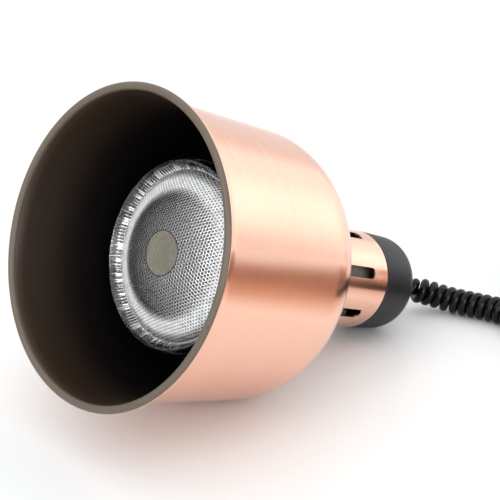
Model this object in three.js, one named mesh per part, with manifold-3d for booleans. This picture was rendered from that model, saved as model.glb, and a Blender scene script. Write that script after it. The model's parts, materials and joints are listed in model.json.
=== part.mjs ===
// Pendant food-warming heat lamp, lying on its side with its curly cord and ceiling canopy.
// Millimetres, +Z up. The lamp's own axis lies in the XZ plane: its opening looks towards -X and
// its cord leaves towards +X. The origin is below the middle of the lamp, on the surface it lies on.
import * as THREE from 'three';
import { mergeVertices } from 'three/addons/utils/BufferGeometryUtils.js';
import Module from 'manifold-3d';

const wasm = await Module();
wasm.setup();

// ---------------------------------------------------------------- driving dimensions
const FIT_GAP = 0.3; // gap left wherever two pieces touch
const SHEET = 1.2; // thickness of the spun and pressed sheet metal

// Heights (z) are measured along the lamp's axis from the plane of the shade's opening.
const shade = {
  rimRadius: 97.5, beadRadius: 2.5, flareRadius: 20, flareTop: 14,
  wallRadiusLow: 91.6, wallRadiusHigh: 88.2, wallTop: 105,
  shoulderRadius: 41, shoulderEnd: 50, crownRadius: 100, seatRadius: 36.4, seatHole: 27,
};
const neck = { radius: 35, top: 227.2, flangeHole: 26.5 };
const slot = { count: 7, width: 7.8, low: 176, high: 212.6, corner: 3.2, firstAngle: 71.3 };
const cap = { radius: 35, backRadius: 33.8, arcRadius: 13.5, top: 268, wall: 2.4, backWall: 3 };
const holder = { radius: 22, bore: 15.2, low: 194.5, floor: 226.5, top: 240 };
const strap = { legX: 22.5, footX: 31.5, top: 257.5, width: 12, thickness: 1.5 };
const nipple = { radius: 4.9, bore: 3.6, low: 250, top: 276 };
const nut = { radius: 8.1, hole: 5.2, height: 3.2 };
const bulb = { apex: 42, radius: 62.5, ringLow: 59.5, ringHigh: 64, neckRadius: 19.5, glass: 1.4 };
const base = { radius: 13.1, low: 195, high: 219, tip: 224 };
const cord = { wire: 6.6, core: 1.1, coilRadius: 9.9, reliefLength: 22, reliefRadius: 7, reliefTip: 4.4 };
const canopy = { rimRadius: 42, backRadius: 27, depth: 34, edge: 3 };
const gland = { radius: 9.2, height: 9.7 };
const screw = { shaft: 1.5, hole: 1.9, head: 3, headHeight: 2 };

// The cord's route between the lamp's gland and the canopy's gland, chosen by hand: out of the cap,
// down onto the floor, round one open loop and up into the canopy.
const CORD_ROUTE = [
  [145.7, 0, 24.2], [150.5, 0, 22.4], [155.9, -2.1, 20.3], [161, -5.2, 18.5], [165.3, -9, 16.8],
  [169.7, -13.4, 15], [173.9, -18.2, 13.2], [177.5, -23.6, 11.6], [180.5, -29.6, 10.5],
  [182.9, -36, 10], [184.8, -42.8, 9.9], [186.7, -50, 9.9], [188.6, -57, 9.9], [190.3, -64, 9.9],
  [191, -78, 9.9], [187, -95, 9.9], [179, -114, 9.9], [170, -133, 9.9], [164, -152, 9.9],
  [165, -172, 9.9], [176, -190, 9.9], [194, -201, 9.9], [214, -202, 9.9], [231, -193, 9.9],
  [242, -177, 9.9], [246.2, -163, 10.7], [247, -152, 13.7], [247, -143, 17.6], [247, -136.3, 20.6],
];

// ---------------------------------------------------------------- geometry helpers
const degrees = THREE.MathUtils.degToRad;

function cleanMesh(geometry) {
  const bare = new THREE.BufferGeometry();
  bare.setAttribute('position', geometry.getAttribute('position'));
  if (geometry.index) bare.setIndex(geometry.index);
  const merged = mergeVertices(bare, 1e-4);
  const kept = [];
  for (let i = 0; i < merged.index.count; i += 3) {
    const [a, b, c] = [0, 1, 2].map((k) => merged.index.getX(i + k));
    if (a !== b && b !== c && c !== a) kept.push(a, b, c);
  }
  merged.setIndex(kept);
  return merged;
}

function signedVolume(geometry) {
  const at = (i) => new THREE.Vector3().fromBufferAttribute(geometry.attributes.position, i);
  let sum = 0;
  for (let i = 0; i < geometry.index.count; i += 3) {
    const [a, b, c] = [0, 1, 2].map((k) => at(geometry.index.getX(i + k)));
    sum += a.dot(b.cross(c)) / 6;
  }
  return sum;
}

// A closed mesh with merged vertices whose faces point outwards.
function solid(geometry) {
  const mesh = cleanMesh(geometry);
  if (signedVolume(mesh) < 0) {
    const flipped = Array.from(mesh.index.array);
    for (let i = 0; i < flipped.length; i += 3) {
      [flipped[i], flipped[i + 1]] = [flipped[i + 1], flipped[i]];
    }
    mesh.setIndex(flipped);
  }
  return mesh;
}

function toManifold(geometry) {
  const mesh = solid(geometry);
  return new wasm.Manifold(new wasm.Mesh({
    numProp: 3,
    vertProperties: new Float32Array(mesh.attributes.position.array),
    triVerts: new Uint32Array(mesh.index.array),
  }));
}

function fromManifold(manifold) {
  const mesh = manifold.getMesh();
  const geometry = new THREE.BufferGeometry();
  geometry.setAttribute('position', new THREE.BufferAttribute(new Float32Array(mesh.vertProperties), 3));
  geometry.setIndex(Array.from(mesh.triVerts));
  return geometry;
}

function cut(body, tools) {
  return fromManifold(tools.reduce((left, tool) => left.subtract(toManifold(tool)), toManifold(body)));
}

function join(...bodies) {
  return fromManifold(bodies.map(toManifold).reduce((all, one) => all.add(one)));
}

// A body of revolution about Z from [radius, z] points. A profile that leaves the axis is closed.
function turned(profile, segments) {
  const points = profile.map(([r, z]) => new THREE.Vector2(r, z));
  const onAxis = profile[0][0] === 0 && profile[profile.length - 1][0] === 0;
  if (!onAxis) points.push(points[0].clone());
  return new THREE.LatheGeometry(points, segments, Math.PI / segments).rotateX(Math.PI / 2);
}

// Points of an arc in the [radius, z] plane. Angle 0 points away from the axis, 90 along it.
function arc(centre, radius, from, to, steps) {
  return Array.from({ length: steps + 1 }, (_, i) => {
    const angle = degrees(from + ((to - from) * i) / steps);
    return [centre[0] + radius * Math.cos(angle), centre[1] + radius * Math.sin(angle)];
  });
}

function rod(radius, low, high, sides = 16) {
  return turned([[0, low], [radius, low], [radius, high], [0, high]], sides);
}

function pipe(outer, inner, low, high, sides = 24) {
  return turned([[inner, low], [outer, low], [outer, high], [inner, high]], sides);
}

function box(x, y, z, centre) {
  return new THREE.BoxGeometry(x, y, z).translate(...centre);
}

function section(radius, sides) {
  const corner = (i) => {
    const angle = (2 * Math.PI * (i + 0.5)) / sides;
    return new THREE.Vector2(radius * Math.cos(angle), radius * Math.sin(angle));
  };
  return new THREE.Shape(Array.from({ length: sides }, (_, i) => corner(i)));
}

function smoothCurve(points) {
  return new THREE.CatmullRomCurve3(points.map((p) => new THREE.Vector3(...p)), false, 'centripetal');
}

function tube(curve, radius, sides, steps) {
  const options = { steps, bevelEnabled: false, extrudePath: curve };
  return new THREE.ExtrudeGeometry(section(radius, sides), options);
}

// A bent strip: an outline of [x, z] points in the XZ plane, `width` wide across it.
function strip(outline, width) {
  const shape = new THREE.Shape(outline.map(([x, z]) => new THREE.Vector2(x, z)));
  const bar = new THREE.ExtrudeGeometry(shape, { depth: width, bevelEnabled: false });
  return bar.rotateX(Math.PI / 2).translate(0, width / 2, 0);
}

// A stretch of a curve between two lengths along it, as a curve of its own.
function stretch(curve, from, to, pieces) {
  const whole = curve.getLength();
  const at = (i) => curve.getPointAt((from + ((to - from) * i) / pieces) / whole);
  return new THREE.CatmullRomCurve3(Array.from({ length: pieces + 1 }, (_, i) => at(i)));
}

// Lays a body of revolution about Z along a curve, its z becoming the length along the curve.
function bentAlong(geometry, curve) {
  const whole = curve.getLength();
  const up = new THREE.Vector3(0, 0, 1);
  const position = geometry.attributes.position;
  for (let i = 0; i < position.count; i += 1) {
    const u = position.getZ(i) / whole;
    const side = curve.getTangentAt(u).cross(up).normalize();
    const over = side.clone().cross(curve.getTangentAt(u));
    const point = curve.getPointAt(u);
    point.addScaledVector(side, position.getX(i)).addScaledVector(over, position.getY(i));
    position.setXYZ(i, point.x, point.y, point.z);
  }
  return geometry;
}

// A screw with its head's underside at z = 0 and its shaft reaching down to -length.
function screwBody(length, head = screw.head) {
  const top = screw.headHeight;
  const profile = [
    [0, -length], [screw.shaft, -length], [screw.shaft, 0], [head, 0],
    [head, top * 0.6], [head * 0.7, top], [0, top],
  ];
  return turned(profile, 10);
}

function hexNut(low) {
  const outer = new THREE.CylinderGeometry(nut.radius, nut.radius, nut.height, 6).rotateX(Math.PI / 2);
  return cut(outer.translate(0, 0, low + nut.height / 2), [rod(nut.hole, low - 1, low + nut.height + 1)]);
}

// ---------------------------------------------------------------- materials and meshes
const FINISH = {
  copper: [0xe0ab8c, 0.3, 1], blackPlastic: [0x2b2b2d, 0.5, 0],
  rubber: [0x141414, 0.4, 0], porcelain: [0xe9e5da, 0.3, 0], brass: [0xc9a45a, 0.35, 1],
  steel: [0xb9bcc0, 0.35, 1], glass: [0xc4c8ca, 0.08, 0.3], nickel: [0xcfcdc6, 0.3, 1],
  tungsten: [0x77777a, 0.4, 1], red: [0x8a4a2a, 0.5, 0], blue: [0x2f5aa8, 0.5, 0],
  green: [0x6e9a34, 0.5, 0], whitePlastic: [0xdedcd4, 0.5, 0], blackGlass: [0x18181c, 0.2, 0],
};

function piece(name, geometry, finish) {
  const [color, roughness, metalness] = FINISH[finish];
  const material = new THREE.MeshStandardMaterial({ color, roughness, metalness });
  material.name = finish;
  const mesh = new THREE.Mesh(solid(geometry), material);
  mesh.name = name;
  mesh.geometry.computeVertexNormals();
  return mesh;
}

// ---------------------------------------------------------------- shade
const wallTilt = THREE.MathUtils.radToDeg(
  Math.atan2(shade.wallRadiusLow - shade.wallRadiusHigh, shade.wallTop - shade.flareTop));
const shoulderCentre = [
  shade.wallRadiusHigh - shade.shoulderRadius * Math.cos(degrees(wallTilt)),
  shade.wallTop - shade.shoulderRadius * Math.sin(degrees(wallTilt)),
];
const crownLead = shade.crownRadius - shade.shoulderRadius;
const crownCentre = [
  shoulderCentre[0] - crownLead * Math.cos(degrees(shade.shoulderEnd)),
  shoulderCentre[1] - crownLead * Math.sin(degrees(shade.shoulderEnd)),
];
const crownEnd = THREE.MathUtils.radToDeg(
  Math.acos((shade.seatRadius - crownCentre[0]) / shade.crownRadius));
const seatHeight = crownCentre[1] + shade.crownRadius * Math.sin(degrees(crownEnd));

// One face of the sheet from the rim to the neck's seat, `inset` millimetres inside the outer face.
function shadeFace(inset) {
  const flareCentre = [shade.wallRadiusLow + shade.flareRadius, shade.flareTop];
  return [
    ...arc(flareCentre, shade.flareRadius + inset, 210, 180 + wallTilt, 2),
    ...arc(shoulderCentre, shade.shoulderRadius - inset, wallTilt, shade.shoulderEnd, 5),
    ...arc(crownCentre, shade.crownRadius - inset, shade.shoulderEnd, crownEnd, 2).slice(1),
    [shade.seatHole, seatHeight - inset],
  ];
}

function circlePlaces(count, radius, firstAngle) {
  return Array.from({ length: count }, (_, i) => {
    const angle = degrees(firstAngle) + (2 * Math.PI * i) / count;
    return [radius * Math.cos(angle), radius * Math.sin(angle)];
  });
}

const shadeScrewPlaces = circlePlaces(3, 30.5, 30);

// A clearance hole for a screw, parallel to the axis through [x, y] at about height z.
function drilled(x, y, z) {
  return rod(screw.hole, z - 5, z + 5, 8).translate(x, y, 0);
}

function shadeBody() {
  const beadCentre = [shade.rimRadius - shade.beadRadius, shade.beadRadius];
  const bead = arc(beadCentre, shade.beadRadius, 150, 420, 6);
  const shell = turned([...shadeFace(0), ...shadeFace(SHEET).reverse(), ...bead], 48);
  return cut(shell, shadeScrewPlaces.map(([x, y]) => drilled(x, y, seatHeight)));
}

// ---------------------------------------------------------------- neck sleeve
const neckLow = seatHeight + FIT_GAP;

function slotCutter() {
  const half = slot.width / 2;
  const r = slot.corner;
  const outline = new THREE.Shape();
  outline.moveTo(slot.low + r, -half);
  outline.lineTo(slot.high - r, -half);
  outline.absarc(slot.high - r, -half + r, r, -Math.PI / 2, 0);
  outline.absarc(slot.high - r, half - r, r, 0, Math.PI / 2);
  outline.absarc(slot.low + r, half - r, r, Math.PI / 2, Math.PI);
  outline.absarc(slot.low + r, -half + r, r, Math.PI, 1.5 * Math.PI);
  const bar = new THREE.ExtrudeGeometry(outline, { depth: 10, bevelEnabled: false, curveSegments: 2 });
  // The outline's x runs along the lamp's axis and its depth runs outwards from the axis.
  const turn = new THREE.Matrix4().makeBasis(
    new THREE.Vector3(0, 0, 1), new THREE.Vector3(0, 1, 0), new THREE.Vector3(-1, 0, 0));
  return bar.applyMatrix4(turn).translate(neck.radius + 4, 0, 0);
}

const footScrewX = 28;

function neckSleeve() {
  const inner = neck.radius - SHEET;
  const profile = [
    [shade.seatHole + 0.5, neckLow], [neck.radius, neckLow], [neck.radius, neck.top],
    [neck.flangeHole, neck.top], [neck.flangeHole, neck.top - SHEET], [inner, neck.top - SHEET],
    [inner, neckLow + SHEET], [shade.seatHole + 0.5, neckLow + SHEET],
  ];
  const slots = circlePlaces(slot.count, 1, slot.firstAngle)
    .map(([x, y]) => slotCutter().rotateZ(Math.atan2(y, x)));
  const lowHoles = shadeScrewPlaces.map(([x, y]) => drilled(x, y, neckLow));
  const highHoles = [-1, 1].map((side) => drilled(side * footScrewX, 0, neck.top));
  return cut(turned(profile, 42), [...slots, ...lowHoles, ...highHoles]);
}

// ---------------------------------------------------------------- end cap
const capLow = neck.top + 0.4;
const capArcCentre = [cap.backRadius - cap.arcRadius, cap.top - cap.arcRadius];

function endCap() {
  const chamfer = 0.8;
  const bore = nipple.radius + 0.4;
  const innerTop = cap.top - cap.backWall;
  const profile = [
    [cap.radius - cap.wall, capLow], [cap.radius - chamfer, capLow], [cap.radius, capLow + chamfer],
    ...arc(capArcCentre, cap.arcRadius, 0, 90, 5), [bore, cap.top], [bore, innerTop],
    ...arc(capArcCentre, cap.arcRadius - cap.wall, 80, 0, 3),
  ];
  return turned(profile, 40);
}

// ---------------------------------------------------------------- lampholder, strap and nipple
const holderScrewZ = 234;
const earthScrewZ = 247;
const terminalY = 12;

// Turns a piece made along +Z so that it points along +X (side 1) or -X (side -1).
function sideways(geometry, side) {
  return geometry.rotateY((side * Math.PI) / 2);
}

// A clearance hole for a screw, along X at height z, between two distances from the axis.
function drilledAcross(from, to, side, z) {
  return sideways(rod(screw.hole, from, to, 8), side).translate(0, 0, z);
}

function holderBody() {
  const chamfer = 3;
  const profile = [
    [0, holder.floor], [holder.bore, holder.floor], [holder.bore, holder.low], [holder.radius, holder.low],
    [holder.radius, holder.top - chamfer], [holder.radius - chamfer, holder.top], [0, holder.top],
  ];
  const sideHoles = [-1, 1].map((side) => drilledAcross(16.5, 24, side, holderScrewZ));
  const topHoles = [-1, 1].map((side) => drilled(0, side * terminalY, holder.top - 1));
  return cut(turned(profile, 32), [...sideHoles, ...topHoles]);
}

function holderShell() {
  const outer = holder.bore - FIT_GAP;
  const lip = 11;
  const low = holder.low + 2;
  const high = holder.floor - FIT_GAP;
  const wall = 0.7;
  return turned([
    [outer - wall, low], [outer, low], [outer, high], [lip, high], [lip, high - wall],
    [outer - wall, high - wall],
  ], 32);
}

// The springy tongue that the bulb's tip presses on, standing on the holder's floor.
function centreContact() {
  const outline = [[-7, 0], [7, 0], [7, -0.7], [3, -1.7], [-3, -1.7], [-7, -0.7]];
  return strip(outline, 6).translate(0, 0, holder.floor - FIT_GAP);
}

function hatOutline(footLow, t) {
  const { legX, footX, top } = strap;
  const right = [
    [footX, footLow], [footX, footLow + t], [legX + t, footLow + t], [legX + t, top],
  ];
  const rightInner = [[legX, top - t], [legX, footLow]];
  const mirror = (points) => points.map(([x, z]) => [-x, z]).reverse();
  return [...right, ...mirror(right), ...mirror(rightInner), ...rightInner];
}

const footLow = neck.top + FIT_GAP;

function holderStrap() {
  const sides = [-1, 1];
  return cut(strip(hatOutline(footLow, strap.thickness), strap.width), [
    rod(nipple.radius + 0.4, strap.top - 5, strap.top + 5),
    ...sides.map((side) => drilled(side * footScrewX, 0, footLow)),
    ...sides.map((side) => drilledAcross(20, 28, side, holderScrewZ)),
    drilledAcross(20, 28, 1, earthScrewZ),
  ]);
}

const tagInner = strap.legX - FIT_GAP - 1;

function earthTag() {
  const plate = box(1, 7, 9.5, [tagInner + 0.5, 0, earthScrewZ - 1.25]);
  return cut(plate, [drilledAcross(18, 26, 1, earthScrewZ)]);
}

function cordGland(low) {
  const bore = nipple.bore;
  const seat = nipple.radius + 0.4;
  const high = low + gland.height;
  return turned([
    [seat, low], [gland.radius, low], [gland.radius, high - 3], [gland.radius - 2.5, high],
    [bore, high], [bore, high - 1.5], [seat, high - 1.5],
  ], 24);
}

function strainRelief(curve, fromStart) {
  const { reliefLength, reliefRadius, reliefTip } = cord;
  const whole = curve.getLength();
  const at = (length) => (fromStart ? length : whole - length);
  const profile = [0, 0.25, 0.5, 0.75, 1].map((share) => [
    reliefRadius + (reliefTip - reliefRadius) * share, at(FIT_GAP + reliefLength * share),
  ]);
  return bentAlong(turned([[0, profile[0][1]], ...profile, [0, profile[4][1]]], 16), curve);
}

// ---------------------------------------------------------------- bulb
function bulbEnvelope() {
  const t = bulb.glass;
  const faceRadius = 96;
  const edgeRadius = 9;
  // The front is a shallow dome that rolls over into the ring of largest radius.
  const edgeCentre = [bulb.radius - edgeRadius, bulb.ringLow];
  const faceCentreZ = bulb.apex + faceRadius;
  const edgeAngle = THREE.MathUtils.radToDeg(Math.atan2(edgeCentre[1] - faceCentreZ, edgeCentre[0]));
  const face = (inset) => [
    ...arc([0, faceCentreZ], faceRadius - inset, -90, edgeAngle, 4).slice(inset ? 1 : 0),
    ...arc(edgeCentre, edgeRadius - inset, edgeAngle, 0, 3).slice(1),
  ];
  const flank = (inset) => [
    [bulb.radius - inset, bulb.ringHigh], [60.5 - inset, 80], [55.5 - inset, 100], [47 - inset, 120],
    [35.5 - inset, 138], [25.5 - inset, 151], [bulb.neckRadius - inset, 163],
    [bulb.neckRadius - inset, 186], [base.radius - 1.1 - inset, 193], [base.radius - 1.1 - inset, 203],
  ];
  const outside = [...face(0), ...flank(0)];
  const inside = [[0, bulb.apex + t], ...face(t), ...flank(t)].reverse();
  return turned([...outside, ...inside], 32);
}

function bulbScrewShell() {
  const wall = 0.6;
  const profile = [
    [base.radius - wall, base.low], [base.radius, base.low], [base.radius, base.high - 2],
    [8.5, base.high], [8, base.high - wall], [base.radius - wall, base.high - 2 - wall],
  ];
  return turned(profile, 32);
}

function bulbInsulator() {
  const low = base.high + FIT_GAP;
  return turned([[0, low], [8.2, low], [5, low + 3], [0, low + 3]], 20);
}

function bulbTip() {
  const low = base.high + FIT_GAP + 3 + FIT_GAP;
  return turned([[0, low], [4.8, low], [4.8, low + 0.4], [3, base.tip], [0, base.tip]], 16);
}

function bulbStem() {
  return turned([
    [0, 140], [2.4, 140.5], [2.4, 176], [5, 190], [9.8, 200], [9.8, 201.5], [0, 201.5],
  ], 16);
}

const filamentZ = 112;
const filamentRadius = 15;
const filamentHalfGap = 42;

function filament() {
  const steps = 14;
  const from = degrees(filamentHalfGap);
  const points = Array.from({ length: steps + 1 }, (_, i) => {
    const angle = from + ((2 * Math.PI - 2 * from) * i) / steps;
    return [filamentRadius * Math.cos(angle), filamentRadius * Math.sin(angle), filamentZ];
  });
  return tube(smoothCurve(points), 1, 6, 18);
}

// Each lead leaves the stem and ends just behind one end of the filament.
function leadWire(side) {
  const angle = side * degrees(filamentHalfGap);
  const end = [filamentRadius * Math.cos(angle), filamentRadius * Math.sin(angle)];
  return tube(smoothCurve([
    [3.4, side * 1.6, 152], [5, side * 3, 142], [end[0] * 0.85, end[1] * 0.8, 126], [...end, filamentZ + 1.4],
  ]), 0.6, 6, 8);
}

// ---------------------------------------------------------------- the lamp
const lamp = new THREE.Group();

function place(mesh, x, y, z) {
  mesh.position.set(x, y, z);
  return mesh;
}

lamp.add(
  piece('shade', shadeBody(), 'copper'),
  piece('neck_sleeve', neckSleeve(), 'copper'),
  piece('end_cap', endCap(), 'blackPlastic'),
  piece('lampholder_body', holderBody(), 'porcelain'),
  piece('lampholder_shell', holderShell(), 'brass'),
  piece('centre_contact', centreContact(), 'brass'),
  piece('holder_strap', holderStrap(), 'steel'),
  piece('nipple', pipe(nipple.radius, nipple.bore, nipple.low, nipple.top), 'steel'),
  piece('lower_strap_nut', hexNut(strap.top - strap.thickness - FIT_GAP - nut.height), 'steel'),
  piece('upper_strap_nut', hexNut(strap.top + FIT_GAP), 'steel'),
  piece('cap_locknut', hexNut(cap.top - cap.backWall - FIT_GAP - nut.height), 'steel'),
  piece('cord_gland', cordGland(cap.top + FIT_GAP), 'blackPlastic'),
);

const shadeScrewTop = neckLow + SHEET + FIT_GAP;
shadeScrewPlaces.forEach(([x, y], i) => {
  lamp.add(place(piece(`shade_screw_${i + 1}`, screwBody(8), 'steel'), x, y, shadeScrewTop));
});
[-1, 1].forEach((side, i) => {
  const foot = piece(`foot_screw_${i + 1}`, screwBody(8), 'steel');
  lamp.add(place(foot, side * footScrewX, 0, footLow + strap.thickness + FIT_GAP));
  const across = piece(`holder_screw_${i + 1}`, sideways(screwBody(7), side), 'steel');
  lamp.add(place(across, side * (strap.legX + strap.thickness + FIT_GAP), 0, holderScrewZ));
  const terminal = piece(`terminal_screw_${i + 1}`, screwBody(5), 'brass');
  lamp.add(place(terminal, 0, side * terminalY, holder.top + FIT_GAP));
});
lamp.add(
  piece('earth_tag', earthTag(), 'brass'),
  place(piece('earth_screw', sideways(screwBody(5), 1), 'brass'),
    strap.legX + strap.thickness + FIT_GAP, 0, earthScrewZ),
);

const tailLow = 247;
const tailTop = cap.top + FIT_GAP + gland.height;
const terminalReach = terminalY - screw.head - FIT_GAP;
const terminalHeight = holder.top + 1.5;

// A core leaves the tail straight down and curves outwards: along X, then turned about the axis.
function core(reach, endZ, turn) {
  const top = tailLow - 2 * FIT_GAP;
  const path = smoothCurve([
    [1.8, 0, top], [2, 0, top - 1], [3.8, 0, (top + endZ) / 2],
    [reach * 0.65, 0, endZ + 0.3], [reach, 0, endZ],
  ]);
  return tube(path, cord.core, 8, 6).rotateZ(degrees(turn));
}

lamp.add(
  piece('cord_tail', rod(cord.wire / 2, tailLow, tailTop), 'rubber'),
  piece('live_core', core(terminalReach, terminalHeight, 90), 'red'),
  piece('neutral_core', core(terminalReach, terminalHeight, -90), 'blue'),
  piece('earth_core', core(tagInner - FIT_GAP, terminalHeight + 1.5, 0), 'green'),
);

lamp.add(
  piece('bulb_envelope', bulbEnvelope(), 'glass'),
  piece('bulb_screw_shell', bulbScrewShell(), 'nickel'),
  piece('bulb_insulator', bulbInsulator(), 'blackGlass'),
  piece('bulb_tip_contact', bulbTip(), 'brass'),
  piece('bulb_stem', bulbStem(), 'glass'),
  piece('lead_wire_1', leadWire(1), 'nickel'),
  piece('lead_wire_2', leadWire(-1), 'nickel'),
  piece('filament', filament(), 'tungsten'),
);

// The lamp lies on its shoulder and on the rounded back edge of its cap: the floor is the line that
// touches both arcs of its outline, and it fixes how far the axis dips towards the cord.
const arcRun = capArcCentre[1] - shoulderCentre[1];
const arcRise = capArcCentre[0] - shoulderCentre[0];
const dip = Math.asin((shade.shoulderRadius - cap.arcRadius) / Math.hypot(arcRun, arcRise))
  - Math.atan2(arcRise, arcRun);
lamp.setRotationFromMatrix(new THREE.Matrix4().makeBasis(
  new THREE.Vector3(Math.sin(dip), 0, Math.cos(dip)),
  new THREE.Vector3(0, -1, 0),
  new THREE.Vector3(Math.cos(dip), 0, -Math.sin(dip)),
));
const lampBox = new THREE.Box3().setFromObject(lamp, true);
lamp.position.set(-(lampBox.min.x + lampBox.max.x) / 2, 0, -lampBox.min.z);

// ---------------------------------------------------------------- curly cord
const route = smoothCurve(CORD_ROUTE);
const reliefReach = 3 * FIT_GAP + cord.reliefLength;
const curlyRoute = stretch(route, reliefReach, route.getLength() - reliefReach, 40);

// ---------------------------------------------------------------- ceiling canopy
const canopyGroup = new THREE.Group();
const coneLean = Math.atan2(canopy.rimRadius - canopy.backRadius, canopy.depth);
const canopyScrewZ = 9;
const canopyTailLow = 20;
const canopyTailTop = canopy.depth + FIT_GAP + gland.height;
const canopyBracket = { reach: 34, thickness: 1.5, width: 14, tab: 12, ceilingHole: 22 };

function canopyWallRadius(z) {
  return canopy.rimRadius - z * Math.tan(coneLean);
}

function canopyCup() {
  const { depth, edge } = canopy;
  const bore = nipple.radius + 0.4;
  const leanDegrees = THREE.MathUtils.radToDeg(coneLean);
  const edgeCentre = [canopyWallRadius(depth - edge) - edge / Math.cos(coneLean), depth - edge];
  const profile = [
    [canopy.rimRadius - SHEET, FIT_GAP], [canopy.rimRadius - 0.1, FIT_GAP],
    ...arc(edgeCentre, edge, leanDegrees, 90, 3), [bore, depth], [bore, depth - SHEET],
    ...arc(edgeCentre, edge - SHEET, 90, leanDegrees, 3),
  ];
  return cut(turned(profile, 36), [-1, 1].map((side) => drilledAcross(30, 46, side, canopyScrewZ)));
}

function canopyBracketBar() {
  const { reach, thickness, width, tab, ceilingHole } = canopyBracket;
  const outline = [
    [-reach, 0], [reach, 0], [reach, tab], [reach - thickness, tab],
    [reach - thickness, thickness], [-reach + thickness, thickness], [-reach + thickness, tab], [-reach, tab],
  ];
  return cut(strip(outline, width), [
    ...[-1, 1].map((side) => rod(2.4, -5, 5).translate(side * ceilingHole, 0, 0)),
    ...[-1, 1].map((side) => drilledAcross(28, 40, side, canopyScrewZ)),
  ]);
}

const block = { length: 26, width: 12, height: 9, wells: [-8, 0, 8], wellRadius: 2 };
const blockLow = canopyBracket.thickness + FIT_GAP;

function terminalBlock() {
  const body = box(block.length, block.width, block.height, [0, 0, blockLow + block.height / 2]);
  const well = (x) => rod(block.wellRadius, blockLow + 4, blockLow + 12, 12).translate(x, 0, 0);
  return cut(body, block.wells.map(well));
}

// A core runs from the tail's end round to the side of the block, opposite its own screw.
function canopyCore(x) {
  const face = -block.width / 2 - 2 * FIT_GAP;
  const height = blockLow + block.height / 2;
  return tube(smoothCurve([
    [x * 0.22, 0, canopyTailLow - 2 * FIT_GAP], [x * 0.4, -1, canopyTailLow - 2.5],
    [x * 0.9, face - 3, height + 6], [x, face - 4, height + 1.5], [x, face - 1, height], [x, face, height],
  ]), cord.core, 8, 10);
}

function canopyGland() {
  const low = canopy.depth + FIT_GAP;
  const stem = pipe(nipple.radius, nipple.bore, canopy.depth - 8, low + 2);
  const head = turned([
    [nipple.bore, low], [gland.radius, low], [gland.radius, low + gland.height - 3],
    [gland.radius - 2.5, low + gland.height], [nipple.bore, low + gland.height],
  ], 24);
  return join(stem, head);
}

canopyGroup.add(
  piece('canopy_cup', canopyCup(), 'copper'),
  piece('canopy_bracket', canopyBracketBar(), 'steel'),
  piece('canopy_terminal_block', terminalBlock(), 'whitePlastic'),
  piece('canopy_gland', canopyGland(), 'blackPlastic'),
  piece('canopy_gland_nut', hexNut(canopy.depth - SHEET - FIT_GAP - nut.height), 'steel'),
  piece('canopy_cord_tail', rod(cord.wire / 2, canopyTailLow, canopyTailTop), 'rubber'),
);
['blue', 'green', 'red'].forEach((color, i) => {
  canopyGroup.add(piece(`canopy_core_${i + 1}`, canopyCore(block.wells[i]), color));
});
[-1, 1].forEach((side, i) => {
  const across = piece(`canopy_screw_${i + 1}`, sideways(screwBody(7), side), 'steel');
  canopyGroup.add(place(across, side * (canopyWallRadius(canopyScrewZ) + 1.6), 0, canopyScrewZ));
});

// The cup lies on its sloping side with its back towards -Y, where the cord comes in.
canopyGroup.setRotationFromMatrix(new THREE.Matrix4().makeBasis(
  new THREE.Vector3(1, 0, 0),
  new THREE.Vector3(0, -Math.sin(coneLean), Math.cos(coneLean)),
  new THREE.Vector3(0, -Math.cos(coneLean), -Math.sin(coneLean)),
));
canopyGroup.position.set(247, -96, 0);
canopyGroup.position.z = -new THREE.Box3().setFromObject(canopyGroup, true).min.z;

// ---------------------------------------------------------------- the whole fixture
const fixture = new THREE.Group();
fixture.add(
  lamp,
  canopyGroup,
  piece('lamp_strain_relief', strainRelief(route, true), 'rubber'),
  piece('curly_cord', tube(curlyRoute, cord.coilRadius, 10, 44), 'rubber'),
  piece('canopy_strain_relief', strainRelief(route, false), 'rubber'),
);

export default fixture;
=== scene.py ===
"""Copper pendant heat lamp lying on a white studio floor, with its curly cord and ceiling canopy.

Profiles are in millimetres in the lamp's (or the canopy's) own frame, where z runs along the axis
from the open side towards the cord. The cord's route is in millimetres in the row frame, and all
else there is in metres.
"""

import json
import math

import bpy
import numpy as np
from mathutils import Matrix, Vector


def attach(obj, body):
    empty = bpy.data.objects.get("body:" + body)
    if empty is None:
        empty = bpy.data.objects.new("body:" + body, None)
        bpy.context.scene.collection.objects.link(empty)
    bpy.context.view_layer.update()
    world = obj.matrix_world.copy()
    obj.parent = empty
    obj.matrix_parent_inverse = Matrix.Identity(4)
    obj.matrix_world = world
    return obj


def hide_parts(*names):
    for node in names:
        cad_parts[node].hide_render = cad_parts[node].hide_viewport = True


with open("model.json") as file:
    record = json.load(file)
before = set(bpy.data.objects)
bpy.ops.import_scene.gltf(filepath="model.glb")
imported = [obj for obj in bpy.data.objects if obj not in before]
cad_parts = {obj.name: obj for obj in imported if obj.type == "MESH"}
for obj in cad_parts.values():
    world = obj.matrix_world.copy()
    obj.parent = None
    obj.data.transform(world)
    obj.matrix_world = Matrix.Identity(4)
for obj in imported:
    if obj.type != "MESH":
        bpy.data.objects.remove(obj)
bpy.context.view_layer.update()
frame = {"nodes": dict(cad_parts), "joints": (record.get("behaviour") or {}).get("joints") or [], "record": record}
MM = 0.001


# ---------------------------------------------------------------- the lamp's and the canopy's frames
def basis(x, y, z, origin):
    """The matrix of a frame with these axes and origin."""
    turned = Matrix((x, y, z)).transposed().to_4x4()
    return Matrix.Translation(origin) @ turned


joint = next(j for j in frame["joints"] if j["name"] == "bulb_unscrew")
lamp_axis = -Vector(joint["axis"]).normalized()
lamp_side = Vector((0, -1, 0))
LAMP = basis(lamp_side.cross(lamp_axis), lamp_side, lamp_axis, Vector(joint["pos_m"]))

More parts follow.
